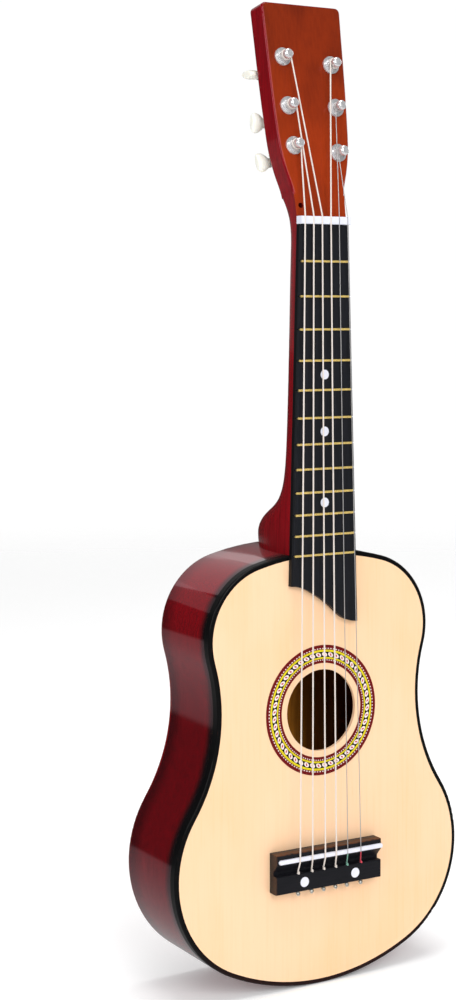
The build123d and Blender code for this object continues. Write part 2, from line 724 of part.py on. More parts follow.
# ---------------------------------------------------------------- strings
def string(n):
    """One string: ball end, tie block, saddle, nut, and a turn round its post with a small gap."""
    radius = string_radii[n]
    post_x, post_along = post_places[n]
    turn_height = turn_heights[n]
    low_z = bridge_low - ball_radius
    exit_z = tie_top_z + exit_length
    over_saddle = saddle_height + contact_gap + radius
    over_nut = nut_height - notch_depth + contact_gap + radius
    nut_x = nut_xs[n]
    turn_radius = post_radius + radius + turning_gap
    to_nut = Vector(nut_x - post_x, -post_along)
    sense = 1 if post_x < 0 else -1
    start_angle = atan2(to_nut.Y, to_nut.X) + sense * acos(turn_radius / to_nut.length)

    def on_turn(sweep_angle):
        angle = start_angle + sense * sweep_angle
        return head_point(
            post_x + turn_radius * cos(angle), post_along + turn_radius * sin(angle), turn_height
        )

    touch = on_turn(0)
    lead_x = post_x + turn_radius * cos(start_angle) + post_lead * sense * sin(start_angle)
    lead_along = post_along + turn_radius * sin(start_angle) - post_lead * sense * cos(start_angle)
    with BuildLine() as route:
        FilletPolyline(
            (hole_xs[n], front_y - tie_hole_height, low_z),
            (hole_xs[n], front_y - tie_hole_height, exit_z),
            (saddle_xs[n], front_y - over_saddle, saddle_z - saddle_lead),
            (nut_x, front_y - over_nut, head_start_z),
            head_point(lead_x, lead_along, turn_height),
            touch,
            radius=(hole_bend, saddle_bend, nut_bend, head_bend),
        )
        ThreePointArc(touch, on_turn(radians(150)), on_turn(radians(300)))
    with BuildPart() as wire:
        with BuildSketch(Plane(origin=route.line @ 0, z_dir=route.line % 0)):
            Circle(radius)
        sweep(path=route.line)
    return wire.part


with BuildPart() as ball_ends:
    for hole_x, string_radius in zip(hole_xs, string_radii):
        ball_centre = (hole_x, front_y - tie_hole_height, bridge_low - ball_radius - wrap_gap)
        with Locations(ball_centre):
            Sphere(ball_radius)
        with Locations(ball_centre):
            Cylinder(string_radius + contact_gap, 2 * ball_radius, mode=Mode.SUBTRACT)
save(ball_ends.part, "ball_ends")

for n in strings:
    place = post_places[n]
    side = -1 if place[0] < 0 else 1
    wraps = string_wraps(place, string_radii[n], turn_heights[n], turn_counts[n])
    save(string(n), f"string_{n + 1}")
    save(wraps, f"string_wraps_{n + 1}")
    save(post(place), f"post_{n + 1}")
    save(wheel(place), f"wheel_{n + 1}")
    save(worm(place, side), f"worm_shaft_{n + 1}")
    save(button(place, side, button_turns[n]), f"button_{n + 1}")
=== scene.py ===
"""Looks of a small six-string toy guitar: lacquers, woods, plated tuners, strings and the studio."""
import math
import random

import bmesh
import bpy
from bpy.props import FloatProperty, FloatVectorProperty, IntProperty, PointerProperty
from mathutils import Matrix, Vector


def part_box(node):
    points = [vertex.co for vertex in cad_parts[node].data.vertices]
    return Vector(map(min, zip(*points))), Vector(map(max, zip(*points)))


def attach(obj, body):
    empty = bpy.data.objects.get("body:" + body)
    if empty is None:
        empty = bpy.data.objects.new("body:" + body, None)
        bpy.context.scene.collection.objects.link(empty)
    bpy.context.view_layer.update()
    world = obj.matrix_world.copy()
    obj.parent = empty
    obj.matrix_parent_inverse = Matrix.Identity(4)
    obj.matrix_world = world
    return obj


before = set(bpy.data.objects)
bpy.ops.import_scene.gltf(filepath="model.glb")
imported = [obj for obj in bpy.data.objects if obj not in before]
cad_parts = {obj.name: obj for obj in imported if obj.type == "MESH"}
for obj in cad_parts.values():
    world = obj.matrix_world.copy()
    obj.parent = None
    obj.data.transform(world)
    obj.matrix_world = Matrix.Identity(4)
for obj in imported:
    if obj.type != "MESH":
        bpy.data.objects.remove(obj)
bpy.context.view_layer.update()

bl_info = {
    "name": "Toy Guitar",
    "version": (1, 0, 0),
    "blender": (4, 5, 0),
    "location": "View3D > Sidebar > Toy Guitar",
    "description": "Finishes and small parts of a six-string toy guitar",
    "category": "Object",
}

MM = 0.001
FRONT_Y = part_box("soundboard")[0][1]
RING_LOW, RING_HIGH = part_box("rosette")
HOLE_Z = (RING_LOW[2] + RING_HIGH[2]) / 2
NUT_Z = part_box("nut")[1][2]
TILT = math.radians(10.0)
FACE_NORMAL = (0.0, -math.cos(TILT), math.sin(TILT))

# the body's middle and half size in millimetres, for shading that follows its outline
BODY_MIDDLE_Z = 112.0
BODY_HALF_WIDTH, BODY_HALF_HEIGHT = 82.0, 118.0
# the side's half width and middle height, which tell its outer face from its inner one
SIDE_HALF_WIDTH, SIDE_MIDDLE_Z = 70.0, 118.0
# painted shade on the wood inside the body deepens between these two places across, in millimetres
SHADE_START_X, SHADE_END_X = 6.0, 26.0

# metals, as linear colours
CHROME = (0.92, 0.92, 0.94)
NICKEL = (0.72, 0.71, 0.69)
BOLT_NICKEL = (0.62, 0.61, 0.58)
BALL_METAL = (0.86, 0.84, 0.78)
PLAIN_WIRE = (0.50, 0.49, 0.49)
WOUND_WIRE = (0.72, 0.71, 0.70)
# how red lacquer tints the light it mirrors
LACQUER_TINT = (1.0, 0.1, 0.26, 1.0)
NECK_TINT = (1.0, 0.2, 0.35, 1.0)
# pitch in millimetres of the faint rings on the thin strings, painted shade with a bump
PLAIN_PITCH = 0.8
# where the ovals' middles are, from the printed ring's outside at 0 to its inside at 1
OVAL_LINE = 0.53

# studio, in metres and watts
FLOOR_RADIUS, FLOOR_FULL = 2.4, 0.6
FLOOR_SEGMENTS, FLOOR_DROP, FLOOR_GLOW = 96, 0.0002, 0.12
AMBIENT, BACKDROP_WHITE = 0.5, 1.02
# brightness that glossy surfaces see, from straight down at 0 to straight up at 1
GLOSS_STOPS = ((0.0, 0.62), (0.42, 0.24), (0.435, 0.03), (1.0, 0.03))
# name, place, the point it is aimed at, width and height, power
LIGHTS = (
    ("key_light", (-0.3, -1.9, 1.3), (0, 0, 0.25), (1.5, 1.2), 24),
    ("side_light", (-2.0, -0.5, 0.9), (0, 0, 0.2), (1.0, 1.0), 11),
    ("fill_light", (1.9, 0.3, 0.9), (0, 0, 0.3), (1.0, 1.0), 7),
    ("back_light", (-0.06, 0.5, 0.403), (-0.06, 0, 0.403), (0.86, 0.115), 0.06),
    ("high_back_light", (0.1, 1.6, 1.25), (0.1, 0, 1.0), (1.4, 0.8), 1.8),
    ("top_light", (0.0, -0.2, 2.1), (0, 0, 0.2), (1.2, 1.2), 17),
)


def screen(red, green, blue):
    """Linear colour of a screen colour given as three numbers up to 255."""
    tones = [value / 255 for value in (red, green, blue)]
    return tuple(t / 12.92 if t <= 0.04045 else ((t + 0.055) / 1.055) ** 2.4 for t in tones)


# ---------------------------------------------------------------- settings
def colour(name, description, tone):
    """A colour setting."""
    return FloatVectorProperty(
        name=name, description=description, subtype="COLOR", size=3, min=0, max=1, default=screen(*tone)
    )


def length(name, description, millimetres):
    """A length setting, given in millimetres and kept in metres."""
    return FloatProperty(
        name=name, description=description, subtype="DISTANCE", unit="LENGTH", default=millimetres * MM
    )


class GuitarColours(bpy.types.PropertyGroup):
    """Stains, lacquers and plastics."""

    top: colour("Top", "Pale face veneer", (246, 206, 168))
    top_streak: colour("Top streak", "Warmer streaks in the face veneer", (241, 194, 144))
    red: colour("Red lacquer", "Lacquer on sides, back and neck", (130, 8, 18))
    dark_red: colour("Deep red", "Same lacquer where it is sprayed darker", (58, 4, 8))
    face_stain: colour("Head stain", "Brown stain on the head's face", (152, 52, 18))
    # this colour is also the painted shade towards the top of the head's face
    face_dark: colour("Head shade", "Darker streaks on the head's face", (104, 34, 16))
    black: colour("Black", "Gloss black of the body's edge", (9, 9, 10))
    board: colour("Board black", "Black stain of fingerboard and bridge", (22, 23, 27))
    worn: colour("Worn wood", "Brown wood that shows where the bridge's paint is thin", (92, 55, 34))
    white: colour("White", "Nut, saddle and dots", (226, 228, 240))
    cream: colour("Cream", "Tuner buttons", (250, 249, 238))
    raw: colour("Raw wood", "Unfinished wood inside the body", (224, 146, 52))
    # painted shade: colour of the inside wood where it stands in for the shade towards the treble side
    raw_painted_shade: colour("Raw wood shade", "The same wood towards the treble side", (38, 12, 6))
    fret: colour("Fret gold", "Frets", (246, 214, 128))
    brass: colour("Brass", "Worm wheels", (232, 190, 96))
    string: colour("String", "Thick pale strings", (224, 214, 206))
    silk_green: colour("Green silk", "Winding on the fifth string's end", (110, 168, 148))
    silk_red: colour("Red silk", "Winding on the sixth string's end", (206, 28, 60))


class GuitarSizes(bpy.types.PropertyGroup):
    """Sizes that the finishes and the added pieces use."""

    rosette_inner: length("Rosette inside", "Inner radius of the printed ring", 25.6)
    rosette_outer: length("Rosette outside", "Outer radius of the printed ring", 35.4)
    black_depth: length("Black depth", "How far black paint reaches down the side", 5.5)
    fade_depth: length("Fade", "Depth over which black turns to red", 7.0)
    grain_pitch: length("Grain pitch", "Distance between the face veneer's grain lines", 1.3)
    knot_radius: length("Knot radius", "Radius of the string's knot at the tie block", 0.85)
    silk_radius: length("Silk radius", "Radius of the silk winding on the last two strings", 0.36)
    silk_wire: length("Silk thread", "Radius of one silk thread", 0.09)
    winding_pitch: length("String winding", "Pitch of the winding on the thick strings", 0.35)
    rosette_ovals: IntProperty(
        name="Rosette ovals", description="Ovals round the printed ring", default=48, min=8, max=200
    )


class GuitarStudio(bpy.types.PropertyGroup):
    """Camera and floor."""

    camera_x: length("Camera X", "Camera's place across", -552.9)
    camera_y: length("Camera Y", "Camera's place in depth", -866.3)
    camera_z: length("Camera Z", "Camera's height", 367.1)
    turn: FloatProperty(
        name="Turn", description="Angle the camera is turned to the right", subtype="ANGLE",
        default=math.radians(30.32),
    )
    lens: FloatProperty(
        name="Lens", description="Focal length in millimetres", default=66.6, min=10, max=300
    )
    lens_rise: FloatProperty(name="Lens rise", description="Vertical shift of the lens", default=-0.191)
    floor: colour("Floor", "Studio floor", (250, 250, 250))


# ---------------------------------------------------------------- shader writing
class Level:
    """A number that varies over a surface. Arithmetic on it adds Math nodes."""

    def __init__(self, nodes, socket):
        self.nodes = nodes
        self.socket = socket

    def maths(self, operation, *values):
        """Math node with these values as its inputs."""
        return self.nodes.node("ShaderNodeMath", {"operation": operation}, dict(enumerate(values)))

    def __add__(self, other):
        return self.maths("ADD", self, other)

    __radd__ = __add__

    def __sub__(self, other):
        return self.maths("SUBTRACT", self, other)

    def __rsub__(self, other):
        return self.maths("SUBTRACT", other, self)

    def __mul__(self, other):
        return self.maths("MULTIPLY", self, other)

    __rmul__ = __mul__

    def __truediv__(self, other):
        return self.maths("DIVIDE", self, other)

    def __rtruediv__(self, other):
        return self.maths("DIVIDE", other, self)

    def __pow__(self, other):
        return self.maths("POWER", self, other)

    def __abs__(self):
        return self.maths("ABSOLUTE", self)

    def lower(self, other):
        """The smaller of the two."""
        return self.maths("MINIMUM", self, other)

    def higher(self, other):
        """The larger of the two."""
        return self.maths("MAXIMUM", self, other)

    def part(self):
        """The part after the decimal point."""
        return self.maths("FRACT", self)

    def rise(self, low, high):
        """0 below low, 1 above high and a smooth step between. Given high to low, it falls."""
        return self.nodes.node(
            "ShaderNodeMapRange",
            {"interpolation_type": "SMOOTHSTEP"},
            {"Value": self, "From Min": low, "From Max": high},
        )

    def band(self, low, high, blur):
        """1 between low and high, with edges blur wide."""
        return self.rise(low - blur / 2, low + blur / 2) * self.rise(high + blur / 2, high - blur / 2)


class Nodes:
    """A node tree, of a material or of the surroundings, and the one way nodes are added to it."""

    def __init__(self, tree):
        self.tree = tree

    def node(self, kind, settings=None, inputs=None, output=0):
        """Any node: its type, its settings, then the values or links of its sockets."""
        added = self.tree.nodes.new(kind)
        for setting, value in (settings or {}).items():
            if setting == "stops":
                self.set_stops(added.color_ramp, value)
            else:
                setattr(added, setting, value)
        for key, value in (inputs or {}).items():
            self.connect(self.find(added.inputs, key), value)
        return Level(self, self.find(added.outputs, output))

    @staticmethod
    def find(sockets, key):
        """A socket by its place, identifier or name."""
        if isinstance(key, int):
            return sockets[key]
        for socket in sockets:
            if socket.identifier == key:
                return socket
        return sockets[key]

    @staticmethod
    def set_stops(ramp, stops):
        """Colour stops of a ramp, as pairs of place and colour."""
        while len(ramp.elements) < len(stops):
            ramp.elements.new(1.0)
        for element, (place, tone) in zip(ramp.elements, stops):
            element.position = place
            element.color = (*tone, 1.0)

    def connect(self, socket, value):
        """Links a level to a socket, or sets the socket's own value."""
        if isinstance(value, Level):
            self.tree.links.new(value.socket, socket)
        elif socket.type == "RGBA" and len(value) == 3:
            socket.default_value = (*value, 1.0)
        else:
            socket.default_value = value


class Finish(Nodes):
    """One material: a Principled shader and the nodes that feed it."""

    def __init__(self, name, **constants):
        self.material = bpy.data.materials.new(name)
        self.material.use_nodes = True
        super().__init__(self.material.node_tree)
        self.shader = self.tree.nodes["Principled BSDF"]
        for socket_name, value in constants.items():
            self.feed(socket_name.replace("_", " "), value)

    def feed(self, socket_name, value):
        """Sets or links one of the shader's own sockets."""
        self.connect(self.shader.inputs[socket_name], value)

    def place(self, scale=(1, 1, 1), warp=0.0):
        """Point on the piece in millimetres, stretched by scale."""
        point = self.node("ShaderNodeTexCoord", output="Object")
        millimetres = tuple(value / MM for value in scale)
        stretched = self.node(
            "ShaderNodeVectorMath", {"operation": "MULTIPLY"}, {0: point, 1: millimetres}
        )
        if not warp:
            return stretched
        wander = self.node("ShaderNodeTexNoise", None, {"Vector": stretched, "Scale": 0.35}, "Color")
        offset = self.node(
            "ShaderNodeVectorMath", {"operation": "SCALE"}, {0: wander, "Scale": warp}
        )
        return self.node("ShaderNodeVectorMath", {"operation": "ADD"}, {0: stretched, 1: offset})

    def axes(self):
        """The three coordinates of the point, in millimetres."""
        split = self.node("ShaderNodeSeparateXYZ", None, {0: self.place()})
        outputs = split.socket.node.outputs
        return [Level(self, outputs[i]) for i in range(3)]

    def noise(self, scale, stretch=(1, 1, 1), detail=4.0, roughness=0.5, warp=0.0):
        """Noise from 0 to 1 whose lumps are about 1 / scale millimetres."""
        return self.node(
            "ShaderNodeTexNoise",
            None,
            {"Vector": self.place(stretch, warp), "Scale": scale, "Detail": detail, "Roughness": roughness},
        )

    def facing(self, direction):
        """Cosine between the surface's normal and a direction."""
        normal = self.node("ShaderNodeNewGeometry", output="Normal")
        return self.node(
            "ShaderNodeVectorMath", {"operation": "DOT_PRODUCT"}, {0: normal, 1: direction}, "Value"
        )

    def mix(self, factor, first, second):
        """Colour that goes from first to second as factor goes from 0 to 1."""
        return self.node(
            "ShaderNodeMix",
            {"data_type": "RGBA"},
            {"Factor_Float": factor, "A_Color": first, "B_Color": second},
            "Result_Color",
        )

    def bump(self, height, distance, strength=1.0):
        """Feeds the normal from a height in units of distance, in millimetres."""
        normal = self.node(
            "ShaderNodeBump", None, {"Height": height, "Distance": distance * MM, "Strength": strength}
        )
        self.feed("Normal", normal)


def dress(finish, *nodes):
    """Gives the frame's nodes a finish."""
    for node in nodes:
        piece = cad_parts[node]
        piece.data.materials.clear()
        piece.data.materials.append(finish.material)


# ---------------------------------------------------------------- finishes
def maple_top(colours, sizes):
    """Pale face veneer under thin satin lacquer: upright grain, soft figure and a few mineral flecks."""
    finish = Finish("maple_top", Coat_Weight=0.12, Coat_Roughness=0.14, Specular_IOR_Level=0.2)
    pitch = sizes.grain_pitch / MM
    grain = finish.noise(1 / pitch, (1.0, 1.0, 0.03), detail=6, roughness=0.62, warp=0.3)
    figure = finish.noise(0.03, (1.0, 1.0, 0.35), detail=3, roughness=0.6)
    cloud = finish.noise(0.012, (1.4, 1.0, 1.0), detail=2)
    streak = grain.rise(0.42, 0.75) * 0.28 + figure.rise(0.45, 0.72) * 0.3 + cloud.rise(0.4, 0.7) * 0.22
    tone = finish.mix(streak, colours.top, colours.top_streak)
    pores = finish.noise(2.2, (1.0, 1.0, 0.06), detail=2).rise(0.70, 0.78)
    finish.feed("Base Color", finish.mix(pores * 0.16, tone, screen(206, 150, 92)))
    finish.feed("Roughness", 0.36 + 0.12 * grain)
    finish.bump(grain * 0.6 + pores * -0.6, 0.02, 0.5)
    return finish


def lacquer_grain(finish):
    """Fine streaks of wood under coloured lacquer, from 0 to 1."""
    return finish.noise(0.9, (1.0, 1.0, 0.05), detail=5, roughness=0.6, warp=0.6)


def inner_wood(finish, colours, outer, inside):
    """Bare wood without a coat where inside is 1, with painted shade towards the treble side, and the outer
    colour under a coat elsewhere.
    """
    streak = finish.noise(0.35, (1.0, 1.0, 0.05), detail=5, roughness=0.6, warp=0.8).rise(0.3, 0.7)
    wood = finish.mix(streak, colours.raw, tuple(c * 0.45 for c in colours.raw))
    # painted shade: the bare wood is darkened towards the treble side, where shade falls inside the body
    treble_painted_shade = finish.axes()[0].rise(SHADE_START_X, SHADE_END_X) * 0.85
    wood = finish.mix(treble_painted_shade, wood, colours.raw_painted_shade)
    finish.feed("Base Color", finish.mix(inside, outer, wood))
    finish.feed("Coat Weight", (1.0 - inside) * 0.5)


def back_lacquer(colours):
    """Deep gloss lacquer on the back, sprayed darker towards the outline. Its inner face is bare wood, with
    painted shade towards the treble side.
    """
    finish = Finish(
        "back_lacquer", Coat_Roughness=0.035, Coat_IOR=1.55, Roughness=0.08, Specular_IOR_Level=1.0,
        Specular_Tint=LACQUER_TINT,
    )
    grain = lacquer_grain(finish)
    cloud = finish.noise(0.02, detail=2).rise(0.35, 0.7)
    depth = (grain.rise(0.35, 0.7) * 0.35 + cloud * 0.25).lower(1.0)
    x, _, z = finish.axes()
    reach = ((x / BODY_HALF_WIDTH) ** 2 + ((z - BODY_MIDDLE_Z) / BODY_HALF_HEIGHT) ** 2) ** 0.5
    depth = depth.higher(reach.rise(0.72, 1.05) * 0.8)
    red = finish.mix(depth, colours.red, colours.dark_red)
    inner_wood(finish, colours, red, finish.facing((0, -1, 0)).rise(0.8, 0.9))
    ripple = finish.noise(0.045, detail=2)
    finish.bump(ripple + grain * 0.02, 0.12, 0.35)
    return finish


def side_lacquer(colours, sizes):
    """Lacquer of the sides: black at the front edge, then red, darker at the back, with painted shade low
    down.
    """
    finish = Finish(
        "side_lacquer", Coat_Roughness=0.03, Coat_IOR=1.55, Roughness=0.08, Specular_IOR_Level=1.0,
        Specular_Tint=LACQUER_TINT,
    )
    depth = finish.axes()[1] - FRONT_Y / MM
    edge = finish.noise(0.08, detail=3) * 3.0 - 1.5
    black_end = sizes.black_depth / MM
    fade_end = black_end + sizes.fade_depth / MM
    black = (depth + edge).rise(fade_end, black_end)
    grain = lacquer_grain(finish)
    x, _, z = finish.axes()
    # painted shade: the red is darkened towards the bottom of the body, where less light falls
    low_painted_shade = z.rise(240.0, 150.0) * 0.55
    shade = (depth + edge).rise(36.0, 54.0) * 0.55 + grain.rise(0.35, 0.7) * 0.3 + low_painted_shade
    red = finish.mix(shade.lower(1.0), colours.red, colours.dark_red)
    outward = x / SIDE_HALF_WIDTH * finish.facing((1, 0, 0))
    outward = outward + (z / SIDE_MIDDLE_Z - 1.0) * finish.facing((0, 0, 1))
    inner_wood(finish, colours, finish.mix(black, red, colours.black), outward.rise(0.02, -0.02))
    ripple = finish.noise(0.035, detail=2)
    finish.bump(ripple + grain * 0.02, 0.12, 0.4)
    return finish


def neck_lacquer(colours):
    """Red lacquer on the neck, with the head's flat face stained brown and darkened towards its top by
    painted shade.
    """
    finish = Finish(
        "neck_lacquer", Coat_Roughness=0.05, Coat_IOR=1.5, Roughness=0.2, Specular_IOR_Level=0.3,
        Specular_Tint=NECK_TINT,
    )
    z = finish.axes()[2]
    grain = finish.noise(0.8, (1.0, 1.0, 0.04), detail=6, roughness=0.62, warp=0.8)
    red = finish.mix(grain.rise(0.35, 0.7) * 0.45, colours.red, colours.dark_red)
    # painted shade: the head's face is darkened towards its top end
    top_painted_shade = z.rise(NUT_Z / MM + 30, NUT_Z / MM + 118)
    blotch = finish.noise(0.05, (1.0, 1.0, 0.5), detail=2, roughness=0.4).rise(0.4, 0.7)
    streak = (grain.rise(0.35, 0.75) * 0.22 + top_painted_shade * 0.62 + blotch * 0.3).lower(1.0)
    face = finish.mix(streak, colours.face_stain, colours.face_dark)
    on_face = finish.facing(FACE_NORMAL).rise(0.86, 0.985) * z.rise(NUT_Z / MM - 1, NUT_Z / MM)
    finish.feed("Base Color", finish.mix(on_face, red, face))
    finish.feed("Coat Weight", 0.5 - 0.45 * on_face)
    finish.bump(grain * 0.3, 0.03, 0.4)
    return finish


def black_edge(colours):
    """Gloss black paint along the body's edge; its very corner turns reddish brown in random patches and
    towards the bottom.
    """
    finish = Finish(
        "black_edge", Coat_Weight=0.15, Coat_Roughness=0.06, Roughness=0.4, Specular_IOR_Level=0.1
    )
    wear = finish.noise(0.5, (1.0, 1.0, 0.4), detail=3).rise(0.62, 0.8)
    depth = finish.axes()[1] - FRONT_Y / MM
    low = finish.axes()[2].rise(40.0, 0.0)
    # the very corner turns reddish brown in random patches, and more towards the bottom of the body
    corner = depth.rise(1.2, 0.1) * (wear * 0.5 + low * 0.35)
    finish.feed("Base Color", finish.mix(corner, colours.black, screen(58, 26, 22)))
    finish.bump(finish.noise(0.3, detail=2), 0.05, 0.3)
    return finish


def stained_board(colours):
    """Black-stained hardwood with open pores, rubbed smooth, with painted shade making its bass side
    blacker.
    """
    finish = Finish("stained_board", Coat_Weight=0.1, Coat_Roughness=0.15, Specular_IOR_Level=0.16)
    grain = finish.noise(1.6, (1.0, 1.0, 0.035), detail=6, roughness=0.65, warp=0.4)
    pores = finish.noise(3.6, (1.0, 1.0, 0.05), detail=2).rise(0.64, 0.74)
    tone = finish.mix(grain.rise(0.3, 0.75) * 0.6, colours.board, screen(34, 36, 44))
    # painted shade: faces turned to the bass side are darkened nearly to black
    bass_side_painted_shade = finish.facing((-1, 0, 0)).rise(0.5, 0.9) * 0.8
    tone = finish.mix(bass_side_painted_shade, tone, screen(5, 5, 7))
    finish.feed("Base Color", finish.mix(pores * 0.7, tone, screen(6, 6, 8)))
    finish.feed("Roughness", 0.42 + 0.14 * grain)
    finish.bump(grain * 0.4 - pores, 0.03, 0.55)
    return finish


def painted_bridge(colours):
    """Black paint on the bridge, worn thin and brown on its upper face and, less, on its bass end."""
    finish = Finish("painted_bridge", Coat_Weight=0.1, Coat_Roughness=0.12, Specular_IOR_Level=0.16)
    low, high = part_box("bridge")
    x, y, z = finish.axes()
    height = FRONT_Y / MM - y
    upper_face = z.rise(high[2] / MM - 0.7, high[2] / MM - 0.1)
    bass_end = x.rise(low[0] / MM + 0.8, low[0] / MM + 0.1) * 0.3
    blotch = finish.noise(0.55, (1.0, 1.0, 1.0), detail=4, roughness=0.6)
    thin = upper_face.higher(bass_end) * height.rise(0.5, 5.5) * blotch.rise(0.30, 0.56)
    grain = finish.noise(1.5, (0.06, 1.0, 1.0), detail=5, roughness=0.6)
    paint = finish.mix(grain.rise(0.3, 0.8) * 0.5, colours.board, screen(34, 32, 38))
    finish.feed("Base Color", finish.mix(thin, paint, colours.worn))
    finish.feed("Roughness", 0.38 + 0.25 * thin)
    finish.bump(grain * 0.5 + blotch * 0.5, 0.05, 0.45)
    return finish


def printed_rosette(colours, sizes):
    """Printed ring: ovals between yellow lines on black, and a row of dots on dark red each side."""
    finish = Finish(
        "printed_rosette", Coat_Weight=0.1, Coat_Roughness=0.12, Roughness=0.5, Specular_IOR_Level=0.12
    )
    x, _, z = finish.axes()
    up = z - HOLE_Z / MM
    radius = (x * x + up * up) ** 0.5
    outer, inner = sizes.rosette_outer / MM, sizes.rosette_inner / MM
    across = (outer - radius) / (outer - inner)
    turn = up.maths("ARCTAN2", up, x) / (2 * math.pi) + 0.5
    cell = (turn * sizes.rosette_ovals).part() - 0.5
    dot = abs((turn * (sizes.rosette_ovals * 2.5)).part() - 0.5)
    dark_red, ink = screen(106, 8, 14), screen(8, 5, 6)
    yellow, paper, pink = screen(234, 220, 32), screen(238, 222, 218), screen(178, 60, 84)
    tone = finish.mix(across.band(0.29, 0.76, 0.02), dark_red, ink)
    tone = finish.mix(across.band(0.27, 0.375, 0.02) + across.band(0.68, 0.765, 0.02), tone, yellow)
    thin_line = across.band(0.315, 0.33, 0.01) + across.band(0.715, 0.73, 0.01)
    tone = finish.mix(thin_line, tone, screen(96, 74, 20))
    row = across.band(0.17, 0.225, 0.02) + across.band(0.81, 0.86, 0.02)
    tone = finish.mix(row * dot.rise(0.26, 0.2), tone, paper)
    # the ovals lean, so a point further in is nearer the next one
    slant = cell + (across - OVAL_LINE) * 1.2
    oval = ((slant / 0.4) ** 2 + ((across - OVAL_LINE) / 0.125) ** 2) ** 0.5
    tone = finish.mix(oval.rise(1.06, 0.94), tone, paper)
    middle = ((slant / 0.13) ** 2 + ((across - OVAL_LINE) / 0.075) ** 2) ** 0.5
    tone = finish.mix(middle.rise(1.15, 0.85), tone, pink)
    finish.feed("Base Color", tone)
    finish.bump(finish.noise(1.2, detail=2), 0.02, 0.3)
    return finish


def moulded_plastic(name, tone, roughness=0.28, glow=0.05):
    """Moulded plastic with a faint orange-peel and a little light let in."""
    finish = Finish(name, Coat_Weight=0.3, Coat_Roughness=0.12, Subsurface_Weight=glow)
    finish.shader.inputs["Subsurface Radius"].default_value = (1.2 * MM, 1.0 * MM, 0.8 * MM)
    finish.shader.inputs["Subsurface Scale"].default_value = 1.0
    cloud = finish.noise(0.25, detail=3)
    finish.feed("Base Color", finish.mix(cloud.rise(0.3, 0.8) * 0.35, tone, tuple(c * 0.86 for c in tone)))
    finish.feed("Roughness", roughness + 0.1 * cloud)
    finish.bump(finish.noise(1.6, detail=2), 0.02, 0.25)
    return finish


def plated_metal(name, tone, roughness=0.12, brushing=0.0, metallic=1.0):
    """Plated or polished metal with faint polishing lines and a few dull spots."""
    finish = Finish(name, Metallic=metallic)
    lines = finish.noise(3.0, (1.0, 0.08, 1.0), detail=4, roughness=0.7)
    dull = finish.noise(0.7, detail=3).rise(0.55, 0.8)
    finish.feed("Base Color", finish.mix(dull * 0.4, tone, tuple(c * 0.72 for c in tone)))
    finish.feed("Roughness", roughness + 0.14 * dull + brushing * lines)
    finish.bump(lines, 0.01, 0.25)
    return finish


def raw_wood(colours):
    """Unfinished softwood inside the body."""
    finish = Finish("raw_wood", Roughness=0.75, Specular_IOR_Level=0.3)
    grain = finish.noise(0.7, (0.05, 1.0, 1.0), detail=6, roughness=0.65, warp=1.2)
    tone = finish.mix(grain.rise(0.35, 0.7), colours.raw, tuple(c * 0.62 for c in colours.raw))
    finish.feed("Base Color", tone)
    finish.bump(grain, 0.08, 0.5)
    return finish


def string_finish(name, tone, pitch, metallic=0.0, roughness=0.38):
    """String with a fine winding, seen as rings along it: painted shade in the gaps between turns, and a
    bump.
    """
    finish = Finish(name, Metallic=metallic, Coat_Weight=0.15, Coat_Roughness=0.25)
    z = finish.axes()[2]
    ring = abs((z / pitch).part() - 0.5) * 2.0
    worn = finish.noise(0.25, detail=2).rise(0.4, 0.8)
    # painted shade: the gaps between the winding's turns are darkened, and worn patches darken at random
    shade = (1.0 - ring.rise(0.0, 0.5)) * 0.35 + worn * 0.15
    finish.feed("Base Color", finish.mix(shade, tone, tuple(c * 0.66 for c in tone)))
    finish.feed("Roughness", roughness + 0.1 * worn)
    finish.bump(ring, 0.05, 0.5)
    return finish


def silk(name, tone):
    """Dyed silk thread."""
    finish = Finish(name, Sheen_Weight=0.4, Roughness=0.6)
    fibre = finish.noise(4.0, (1.0, 1.0, 3.0), detail=3)
    finish.feed("Base Color", finish.mix(fibre.rise(0.35, 0.7) * 0.6, tone, tuple(c * 0.5 for c in tone)))
    finish.bump(fibre, 0.03, 0.5)
    return finish


# ---------------------------------------------------------------- mesh makers
def make_piece(name, mesh, finish):
    """Smooth object from a bmesh, with its finish and material slot, riding on the root."""
    data = bpy.data.meshes.new(name)
    bmesh.ops.recalc_face_normals(mesh, faces=mesh.faces)
    mesh.to_mesh(data)
    mesh.free()
    for polygon in data.polygons:
        polygon.use_smooth = True
    data.materials.append(finish.material)
    piece = bpy.data.objects.new(name, data)
    bpy.context.scene.collection.objects.link(piece)
    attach(piece, "root")
    return piece


def ring_around(mesh, centre, across, up, radius, sides):
    """Ring of vertices round a centre, in the plane of two unit vectors."""
    angles = [2 * math.pi * side / sides for side in range(sides)]
    return [mesh.verts.new(centre + (across * math.cos(a) + up * math.sin(a)) * radius) for a in angles]


def bridge_rings(mesh, rings):
    """Quads between rings of the same size, and caps on the first and last."""
    for lower, upper in zip(rings, rings[1:]):
        count = len(lower)
        for side in range(count):
            mesh.faces.new((lower[side], lower[(side + 1) % count], upper[(side + 1) % count], upper[side]))
    mesh.faces.new(list(reversed(rings[0])))
    mesh.faces.new(rings[-1])


def square_to(direction):
    """Two unit vectors square to a direction."""
    helper = Vector((1, 0, 0)) if abs(direction.x) < 0.9 else Vector((0, 0, 1))
    across = direction.cross(helper).normalized()
    return across, direction.cross(across).normalized()


def tube_through(mesh, points, radius, sides):
    """Round tube through points, one ring to a point."""
    rings = []
    for index, point in enumerate(points):
        ahead = points[min(index + 1, len(points) - 1)]
        behind = points[max(index - 1, 0)]
        across, up = square_to((ahead - behind).normalized())
        if rings:
            across = (across_before - across_before.project(ahead - behind)).normalized()
            up = (ahead - behind).normalized().cross(across)
        across_before = across
        rings.append(ring_around(mesh, point, across, up, radius, sides))
    bridge_rings(mesh, rings)


